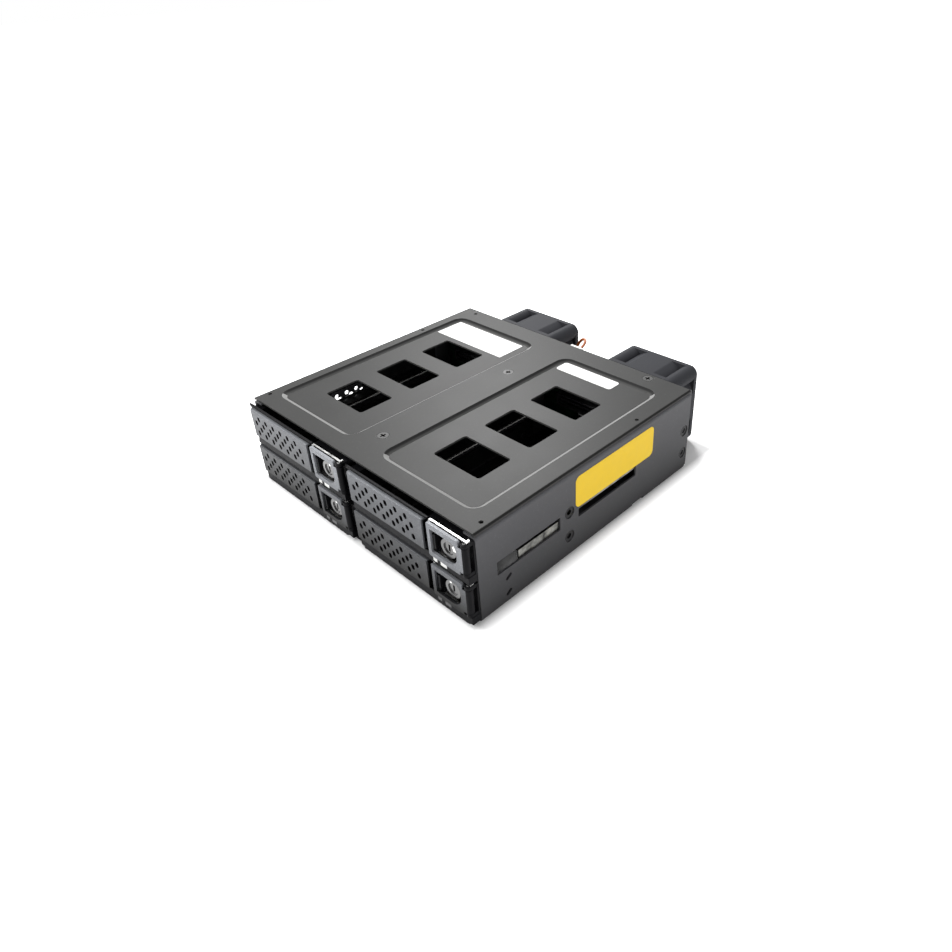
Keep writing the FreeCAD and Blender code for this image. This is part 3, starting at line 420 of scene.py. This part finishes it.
def studio_white(name, base):
    """Floor: it keeps the shadow, shows white to the camera and in reflections, and has a painted shadow
    close round the cage.
    """
    s = Shader(name)
    place = s.place()
    away = s.ramp(s.distance(place) * (1 / FLOOR_WHITE_DISTANCE), FLOOR_NEAR, 1.0, FLOOR_LIFT)
    across = s.part(place, "X").math("ABSOLUTE") - CAGE_HALF_WIDTH
    along = s.part(place, "Y").math("ABSOLUTE") - CAGE_HALF_DEPTH
    # Painted shadow: the white lift fades out within a few millimetres of the cage's box.
    clear = s.ramp(s.largest(across, along) * (1 / FLOOR_PAINTED_SHADOW_REACH), 0.0, 1.0, FLOOR_PAINTED_SHADOW)
    grain = s.noise(s.place(), 30.0)
    diffuse = s.node("ShaderNodeBsdfDiffuse", sockets={"Color": s.blend(grain, shade(base, 0.99), base)})
    dark = s.node("ShaderNodeEmission", sockets={"Strength": 0.0})
    white = s.node("ShaderNodeEmission", sockets={"Strength": 1.0})
    lift = s.node("ShaderNodeMixShader", sockets={0: away * clear, 1: dark, 2: white})
    shown = s.node("ShaderNodeAddShader", sockets={0: diffuse, 1: lift})
    bounce = s.node("ShaderNodeBsdfDiffuse", sockets={"Color": grey(FLOOR_BOUNCE)})
    surface = s.node("ShaderNodeMixShader", sockets={0: s.seen(), 1: bounce, 2: shown})
    s.node("ShaderNodeOutputMaterial", sockets={"Surface": surface})
    return s.owner


def length_property(name, default, description):
    """Property for a length in metres."""
    return bpy.props.FloatProperty(
        name=name, default=default, description=description, unit="LENGTH", subtype="DISTANCE", precision=5
    )


def colour_property(name, default, description):
    """Property for a linear colour."""
    return bpy.props.FloatVectorProperty(
        name=name, default=default, description=description, subtype="COLOR", size=4, min=0.0, max=1.0
    )


class DriveCageSizes(bpy.types.PropertyGroup):
    """Sizes that a user would change."""

    sheet_edge: length_property("Sheet edge", 0.12 * MM, "Rounding of cut sheet metal edges")
    plastic_edge: length_property("Plastic edge", 0.2 * MM, "Rounding of moulded edges")
    small_edge: length_property("Small edge", 0.1 * MM, "Rounding of small parts")


class DriveCageColours(bpy.types.PropertyGroup):
    """Colours that a user would change."""

    coat: colour_property("Powder coat", colour(0.064, 0.064, 0.063), "Black powder coat")
    panel: colour_property("Panel", colour(0.134, 0.139, 0.149), "Painted grilles and levers")
    bezel: colour_property("Bezel", colour(0.006, 0.006, 0.007), "Moulded bezels")
    fan: colour_property("Fan", colour(0.04, 0.041, 0.046), "Fan frames and rotors")
    label: colour_property("Label", colour(0.8, 0.8, 0.79), "Paper labels")
    film: colour_property("Film", colour(0.92, 0.62, 0.04), "Side label")


def sizes():
    """The sizes set in the panel."""
    return bpy.context.scene.drive_cage_sizes


def chosen(name):
    """A colour set in the panel."""
    return tuple(getattr(bpy.context.scene.drive_cage_colours, name))


made_materials = {}


def material(name, make, **values):
    """The named material, made at its first use."""
    if name not in made_materials:
        made_materials[name] = make(name, **values)
    return made_materials[name]


def coat_material():
    base = shade(chosen("coat"), 0.78)
    return material("Black powder coat", powder_coat, base=base, roughness=0.38, specular=0.05)


def wall_material():
    # Painted light and shade: a lighter copy of the coat, darkened to a quarter at the floor.
    base = painted_wall_light(chosen("coat"))
    return material(
        "Black powder coat, walls", powder_coat, base=base, roughness=0.5, specular=0.12, low=0.25
    )


def painted_highlight_material():
    # Painted highlight: a pale, glossier copy of the coat on the cover's front and right slopes.
    base = shade(chosen("coat"), 3.6)
    return material("Rubbed ridge", powder_coat, base=base, roughness=0.4, specular=0.3)


def painted_shade_slope_material():
    # Painted shade on the cover's left and rear slopes.
    return material("Dark crease", painted_shade_slope_coat, base=chosen("coat"), roughness=0.5, specular=0.1)


def screw_head_material():
    return material("Cover screw head", screw_head, base=chosen("coat"))


def rail_material():
    base = colour(0.3, 0.3, 0.28)
    return material("Spangled zinc", rolled_steel, base=base, roughness=0.36, stretch=ALONG_Y, depth=0.02)


def sled_material():
    return material("Blackened steel", rolled_steel, base=grey(0.03), roughness=0.6, stretch=ALONG_Y)


def bright_material():
    base = colour(0.48, 0.48, 0.47)
    return material("Bright steel", rolled_steel, base=base, roughness=0.3, stretch=ALONG_X, depth=0.45)


def pin_material():
    return material("Dark steel pins", rolled_steel, base=grey(0.2), roughness=0.4, stretch=ALONG_Z)


def painted_highlight_edge_material():
    # Painted highlight: near white on the ledges' cut edges.
    return material("Bare cut edge", moulded, base=colour(0.9, 0.9, 0.86), roughness=0.4, grain=0.1)


def painted_shade_hollow_material():
    # Painted shade: near black for slot walls and screw recesses.
    return material("Black hollow", moulded, base=grey(0.003), roughness=0.6, grain=0.05, specular=0.03)


def painted_shade_dimple_material():
    # Painted shade: near black for the side dimples and the inside of the floor.
    base = colour(0.006, 0.006, 0.007)
    return material("Black dimple", moulded, base=base, roughness=0.3, grain=0.1, specular=0.1)


def bezel_material():
    base = chosen("bezel")
    return material("Black moulded bezel", moulded, base=base, roughness=0.45, grain=0.12, specular=0.05)


def fan_material():
    return material(
        "Black fan plastic", moulded, base=chosen("fan"), roughness=0.5,
        grain=0.3, grain_scale=1200.0, specular=0.035,
    )


def socket_material():
    base = colour(0.014, 0.014, 0.015)
    return material("Black connector", moulded, base=base, roughness=0.45, grain=0.15)


def white_material():
    return material("White plastic", moulded, base=colour(0.8, 0.8, 0.78), roughness=0.35, grain=0.1)


def painted_shade_pipe_material():
    # Painted shade: a dark copy of the light pipes' plastic.
    base = colour(0.02, 0.02, 0.022)
    return material("Unlit light pipes", moulded, base=base, roughness=0.2, grain=0.1)


def sleeve_material():
    return material("Lead sleeve", moulded, base=colour(0.35, 0.09, 0.02), roughness=0.4, grain=0.1)


def panel_material():
    base = chosen("panel")
    # start and full set the painted shade towards the bottom.
    return material("Grey metallic paint", painted_panel, base=base, roughness=0.42, start=0.16, full=0.95)


def lever_material():
    base = shade(chosen("panel"), 1.75)
    # start and full set the painted shade towards the bottom.
    return material(
        "Grey metallic paint, levers", painted_panel, base=base, roughness=0.42, start=0.15, full=0.8
    )


def chrome_material():
    return material("Lock plating", plated, base=colour(0.7, 0.7, 0.68), roughness=0.2)


def lock_face_material():
    # Painted shade: a darker copy of the lock plating, in place of its bright reflection.
    return material("Lock face", plated, base=grey(0.12), roughness=0.2)


def screw_steel_material():
    return material("Screw steel", plated, base=colour(0.55, 0.55, 0.54), roughness=0.3)


def board_material():
    return material("Solder mask", circuit_board, base=colour(0.005, 0.03, 0.012))


def shape_of(node):
    """Copy of a CAD node's mesh, merged, with its flat faces whole again."""
    shape = bmesh.new()
    shape.from_mesh(frame["nodes"][node].data)
    bmesh.ops.remove_doubles(shape, verts=shape.verts, dist=MERGE_DISTANCE)
    bmesh.ops.dissolve_limit(
        shape, angle_limit=FLAT_ANGLE, verts=shape.verts[:], edges=shape.edges[:],
        use_dissolve_boundaries=False,
    )
    return shape


def round_edges(shape, width, segments=2):
    """Rounds every edge where the surface turns by more than a set angle."""
    edges = [edge for edge in shape.edges if edge.is_manifold and edge.calc_face_angle() > ROUNDED_ANGLE]
    bmesh.ops.bevel(
        shape, geom=edges, offset=width, offset_type="OFFSET", segments=segments, profile=0.5,
        affect="EDGES", clamp_overlap=True, material=-1,
    )


def piece(name, shape, finish, body, slot=None, replaces=()):
    """Makes a bmesh a piece that rides on a body."""
    mesh = bpy.data.meshes.new(name)
    shape.to_mesh(mesh)
    shape.free()
    mesh.polygons.foreach_set("use_smooth", [True] * len(mesh.polygons))
    mesh.set_sharp_from_angle(angle=SHARP_ANGLE)
    mesh.materials.append(finish)
    made = bpy.data.objects.new(name, mesh)
    bpy.context.scene.collection.objects.link(made)
    weight = made.modifiers.new("Even shading", "WEIGHTED_NORMAL")
    weight.keep_sharp = True
    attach(made, body)
    if replaces:
        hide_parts(*replaces)
    return made


def rounded(node, finish, width, body="cage", segments=2):
    """A CAD node's shape with rounded edges, in place of the node."""
    shape = shape_of(node)
    round_edges(shape, width, segments=segments)
    return piece(node + "_body", shape, finish, body, slot_of(node), (node,))


def toned(node, finishes, picks, width, body="cage", segments=2):
    """The same in several finishes: picks gives each face its place in their list."""
    shape = shape_of(node)
    for face in shape.faces:
        face.material_index = int(picks(face, face.calc_center_median()))
    round_edges(shape, width, segments=segments)
    made = piece(node + "_body", shape, finishes[0], body, slot_of(node), (node,))
    for finish in finishes[1:]:
        made.data.materials.append(finish)
    return made


def span(face, axis):
    """Reach of a face along an axis."""
    places = [corner.co[axis] for corner in face.verts]
    return max(places) - min(places)


def box_of(node):
    """Lowest and highest corner of a CAD node."""
    places = [corner.co for corner in frame["nodes"][node].data.vertices]
    return tuple(Vector(pick(place[axis] for place in places) for axis in range(3)) for pick in (min, max))


def joint_place(name):
    """A joint's place in the record."""
    for row in frame["record"]["behaviour"]["joints"]:
        if row["name"] == name:
            return row["pos_m"]
    raise RuntimeError("no joint called " + name)


def side_holes():
    """Places of the mounting holes along a side wall, as (y, z)."""
    for row in frame["record"]["mounts"]:
        if row["name"] == "side_holes_right":
            along = row["dims"]["spacing_x_mm"] * MM / 2
            up = row["dims"]["spacing_y_mm"] * MM / 2
            middle = row["pos_m"]
            return [(middle[1] + y, middle[2] + z) for y in (-along, along) for z in (-up, up)]
    raise RuntimeError("no side holes")


def cage_base(width):
    """Folded base, with painted shade in the dimples round its mounting holes and on its floor."""
    holes = side_holes()

    def picks(face, middle):
        # Faces in the dimples and on the floor take painted shade.
        near = min(math.hypot(middle.y - y, middle.z - z) for y, z in holes)
        outside = abs(middle.x) > CAGE_HALF_WIDTH - WALL_REACH
        dimple = near < DIMPLE_RADIUS and outside and face.calc_area() < DIMPLE_AREA
        pan = face.normal.z > UPRIGHT and middle.z < PAN_DEPTH
        return dimple or pan

    return toned("cage_base", (wall_material(), painted_shade_dimple_material()), picks, width)


def top_cover(width):
    """Pressed cover: its slopes carry a painted highlight at the front and right, and painted shade at the
    left and rear.
    """

    def picks(face, middle):
        if not SLOPE_LEAST < face.normal.z < SLOPE_MOST or middle.z < CAGE_HEIGHT - PRESSED_DEPTH:
            return 0
        # Left and rear slopes take painted shade, front and right slopes a painted highlight.
        return 1 if face.normal.x > face.normal.y else 2

    return toned("top_cover", (coat_material(), painted_shade_slope_material(), painted_highlight_material()), picks, width)


def bezel(tray, width):
    """A bezel, with the left end of its top lip cut back to the grille."""
    node = tray + "_bezel"
    low, high = box_of(node)
    shape = shape_of(node)
    for corner in shape.verts:
        place = corner.co
        if place.x < low.x + LIP_TRIM / 2 and place.z > high.z - LIP_HEIGHT and place.y < low.y + LIP_REACH:
            place.x += LIP_TRIM
    round_edges(shape, width)
    return piece(node + "_body", shape, bezel_material(), tray + "_tray", slot_of(node), (node,))


def rails(node, finish, width):
    """Angle rails, with a painted highlight on the cut edge of each ledge."""

    def picks(face, middle):
        return face.normal.x > UPRIGHT and span(face, 2) < CUT_EDGE

    return toned(node, (finish, painted_highlight_edge_material()), picks, width)


def grille(tray, width):
    """A grille, with painted shade on the walls of its slots."""
    node = tray + "_grille"
    low, high = box_of(node)

    def picks(face, middle):
        inside = min(middle.x - low.x, high.x - middle.x, middle.z - low.z, high.z - middle.z)
        return abs(face.normal.y) < SIDEWAYS and inside > GRILLE_RIM

    return toned(node, (panel_material(), painted_shade_hollow_material()), picks, width, tray + "_tray")


def lever(tray, width):
    """A lever: painted face, black barrel round its pin."""
    pin = joint_place(tray + "_lever_hinge")

    def picks(face, middle):
        return middle.x > pin[0] + BARREL_START

    return toned(tray + "_lever", (lever_material(), bezel_material()), picks, width, tray + "_lever_body")


def lock(tray, width):
    """A key lock: plated ring and cam, with a darker copy of the plating on its face: painted shade."""
    node = tray + "_lock"
    front = box_of(node)[0].y
    axis = joint_place(tray + "_lock_turn")

    def picks(face, middle):
        away = math.hypot(middle.x - axis[0], middle.z - axis[2])
        return away < LOCK_FACE_RADIUS and middle.y < front + LOCK_FACE_DEPTH

    return toned(node, (chrome_material(), lock_face_material()), picks, width, tray + "_lock_body", 3)


def cover_screws(width):
    """Cover screws: heads coated like the cover, with painted shade in the cross recess and on the sloping
    faces.
    """
    top = box_of("cover_screws")[1].z

    def picks(face, middle):
        return face.normal.z < UPRIGHT or middle.z < top - SCREW_RIM

    return toned("cover_screws", (screw_head_material(), painted_shade_hollow_material()), picks, width)


def slot_of(node):
    """The record's material slot of a node."""
    for row in frame["record"]["subparts"]:
        if row["node"] == node:
            return row["material_slot"]
    raise RuntimeError("no subpart for " + node)


def dress(node, finish):
    """Gives a CAD node a material and leaves its mesh alone."""
    for place in frame["nodes"][node].material_slots:
        place.link = "OBJECT"
        place.material = finish


class DRIVECAGE_OT_stage(bpy.types.Operator):
    """Floor, lights and camera"""

    bl_idname = "drive_cage.stage"
    bl_label = "Stage"

    def execute(self, context):
        scene = context.scene
        scene.view_settings.view_transform = "Standard"
        floor_shape = bmesh.new()
        bmesh.ops.create_grid(floor_shape, x_segments=1, y_segments=1, size=FLOOR_HALF)
        mesh = bpy.data.meshes.new("floor")
        floor_shape.to_mesh(mesh)
        floor_shape.free()
        floor = bpy.data.objects.new("floor", mesh)
        mesh.materials.append(studio_white("Pale floor", grey(0.85)))
        scene.collection.objects.link(floor)
        self.world(scene)
        for name, (place, size, power) in LAMPS.items():
            self.lamp(scene, name, Vector(place), size, power)
        self.camera(scene)
        return {"FINISHED"}

    def world(self, scene):
        """White where it is seen or reflected, and a plain light level for the rest."""
        s = Shader("Studio", bpy.data.worlds)
        scene.world = s.owner
        sockets = {"Value": s.seen(), "To Min": WORLD_LIGHT, "To Max": 1.0}
        strength = s.node("ShaderNodeMapRange", sockets=sockets)
        background = s.node("ShaderNodeBackground", sockets={"Color": WHITE, "Strength": strength})
        s.node("ShaderNodeOutputWorld", sockets={"Surface": background})

    def lamp(self, scene, name, place, size, power):
        """A round area lamp that points at the object."""
        light = bpy.data.lights.new(name, "AREA")
        light.shape = "DISK"
        light.size = size
        light.energy = power
        made = bpy.data.objects.new(name, light)
        made.location = place
        made.rotation_euler = (LAMP_AIM - place).to_track_quat("-Z", "Y").to_euler()
        scene.collection.objects.link(made)

    def camera(self, scene):
        """The photograph's camera, as fitted to the part's corners."""
        lens = bpy.data.cameras.new("camera")
        lens.sensor_width = CAMERA_SENSOR
        lens.lens = CAMERA_LENS
        lens.shift_x, lens.shift_y = CAMERA_SHIFT
        lens.clip_start = 0.01
        made = bpy.data.objects.new("camera", lens)
        made.location = CAMERA_PLACE
        made.rotation_euler = [math.radians(angle) for angle in CAMERA_ANGLES]
        scene.collection.objects.link(made)
        scene.camera = made


class DRIVECAGE_OT_sheet_metal(bpy.types.Operator):
    """Cage, cover, divider, rails and rear bracket"""

    bl_idname = "drive_cage.sheet_metal"
    bl_label = "Sheet metal"

    def execute(self, context):
        edge = sizes().sheet_edge
        top_cover(edge)
        cage_base(edge)
        rounded("centre_divider", wall_material(), edge)
        rails("centre_rails", wall_material(), edge)
        rails("side_rails", rail_material(), edge)
        rounded("rear_bracket", wall_material(), edge)
        return {"FINISHED"}


class DRIVECAGE_OT_backplane(bpy.types.Operator):
    """Board, sockets and ports"""

    bl_idname = "drive_cage.backplane"
    bl_label = "Backplane"

    def execute(self, context):
        edge = sizes().small_edge
        rounded("backplane_board", board_material(), edge)
        for node in ("drive_sockets", "data_ports", "power_ports"):
            rounded(node, socket_material(), edge)
        for node in ("fan_header", "fan_plug"):
            rounded(node, white_material(), edge)
        return {"FINISHED"}


class DRIVECAGE_OT_screws(bpy.types.Operator):
    """Board, fan and cover screws"""

    bl_idname = "drive_cage.screws"
    bl_label = "Screws"

    def execute(self, context):
        edge = sizes().small_edge
        rounded("board_screws", screw_steel_material(), edge)
        rounded("fan_screws", screw_steel_material(), edge)
        cover_screws(edge)
        return {"FINISHED"}


class DRIVECAGE_OT_trays(bpy.types.Operator):
    """Four drive trays with their levers, catches and locks"""

    bl_idname = "drive_cage.trays"
    bl_label = "Trays"

    def execute(self, context):
        edge = sizes().plastic_edge
        small = sizes().small_edge
        for tray in TRAYS:
            body = tray + "_tray"
            rounded(tray + "_sled", sled_material(), small, body)
            bezel(tray, edge)
            grille(tray, small)
            rounded(tray + "_lever_pin", pin_material(), small, body)
            # The lower trays' light pipes take painted shade.
            pipes = white_material() if tray in UPPER_TRAYS else painted_shade_pipe_material()
            rounded(tray + "_light_pipes", pipes, small, body)
            lever(tray, edge)
            rounded(tray + "_lever_plate", bright_material(), small, tray + "_lever_body")
            rounded(tray + "_catch", bezel_material(), small, tray + "_catch_body")
            lock(tray, small)
        return {"FINISHED"}


class DRIVECAGE_OT_fans(bpy.types.Operator):
    """Fan frames and their rotors"""

    bl_idname = "drive_cage.fans"
    bl_label = "Fans"

    def execute(self, context):
        for fan in FANS:
            rounded("fan_" + fan + "_frame", fan_material(), sizes().plastic_edge)
            rounded("fan_" + fan + "_motor_mount", fan_material(), sizes().small_edge)
            rounded("fan_" + fan + "_rotor", fan_material(), sizes().small_edge, "fan_" + fan + "_spinner")
        return {"FINISHED"}


class DRIVECAGE_OT_labels(bpy.types.Operator):
    """Bare labels"""

    bl_idname = "drive_cage.labels"
    bl_label = "Labels"

    def execute(self, context):
        dress("white_labels", material("Label paper", paper, base=chosen("label")))
        dress("side_label", material("Yellow film", film, base=chosen("film")))
        return {"FINISHED"}


class DRIVECAGE_OT_fan_lead(bpy.types.Operator):
    """Lead of the left fan"""

    bl_idname = "drive_cage.fan_lead"
    bl_label = "Fan lead"

    def execute(self, context):
        line = bpy.data.curves.new("fan_lead_sleeve", "CURVE")
        line.dimensions = "3D"
        line.bevel_depth = LEAD_DIAMETER / 2
        line.bevel_resolution = 6
        line.resolution_u = 16
        line.use_fill_caps = True
        spline = line.splines.new("NURBS")
        spline.points.add(len(LEAD_ROUTE) - 1)
        for point, place in zip(spline.points, LEAD_ROUTE):
            point.co = (Vector(place) * MM).to_4d()
        spline.order_u = 3
        spline.use_endpoint_u = True
        line.materials.append(sleeve_material())
        lead = bpy.data.objects.new("fan_lead_sleeve", line)
        context.scene.collection.objects.link(lead)
        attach(lead, "cage")
        slot_of("fan_lead")
        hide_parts("fan_lead")
        return {"FINISHED"}


class DRIVECAGE_PT_panel(bpy.types.Panel):
    """Lists the operators and the sizes and colours"""

    bl_idname = "DRIVECAGE_PT_panel"
    bl_label = "Drive cage"
    bl_space_type = "VIEW_3D"
    bl_region_type = "UI"
    bl_category = "Drive cage"

    def draw(self, context):
        layout = self.layout
        for group in (context.scene.drive_cage_sizes, context.scene.drive_cage_colours):
            for name in group.bl_rna.properties.keys():
                if name not in ("rna_type", "name"):
                    layout.prop(group, name)
        for operator in OPERATORS:
            layout.operator(operator.bl_idname)


OPERATORS = (
    DRIVECAGE_OT_stage,
    DRIVECAGE_OT_sheet_metal,
    DRIVECAGE_OT_backplane,
    DRIVECAGE_OT_screws,
    DRIVECAGE_OT_trays,
    DRIVECAGE_OT_fans,
    DRIVECAGE_OT_labels,
    DRIVECAGE_OT_fan_lead,
)
CLASSES = (DriveCageSizes, DriveCageColours) + OPERATORS + (DRIVECAGE_PT_panel,)


def register():
    for made in CLASSES:
        bpy.utils.register_class(made)
    bpy.types.Scene.drive_cage_sizes = bpy.props.PointerProperty(type=DriveCageSizes)
    bpy.types.Scene.drive_cage_colours = bpy.props.PointerProperty(type=DriveCageColours)


def unregister():
    del bpy.types.Scene.drive_cage_colours
    del bpy.types.Scene.drive_cage_sizes
    for made in reversed(CLASSES):
        bpy.utils.unregister_class(made)


def main():
    register()
    bpy.ops.drive_cage.stage()
    bpy.ops.drive_cage.sheet_metal()
    bpy.ops.drive_cage.backplane()
    bpy.ops.drive_cage.screws()
    bpy.ops.drive_cage.trays()
    bpy.ops.drive_cage.fans()
    bpy.ops.drive_cage.labels()
    bpy.ops.drive_cage.fan_lead()


if __name__ == "__main__":
    main()
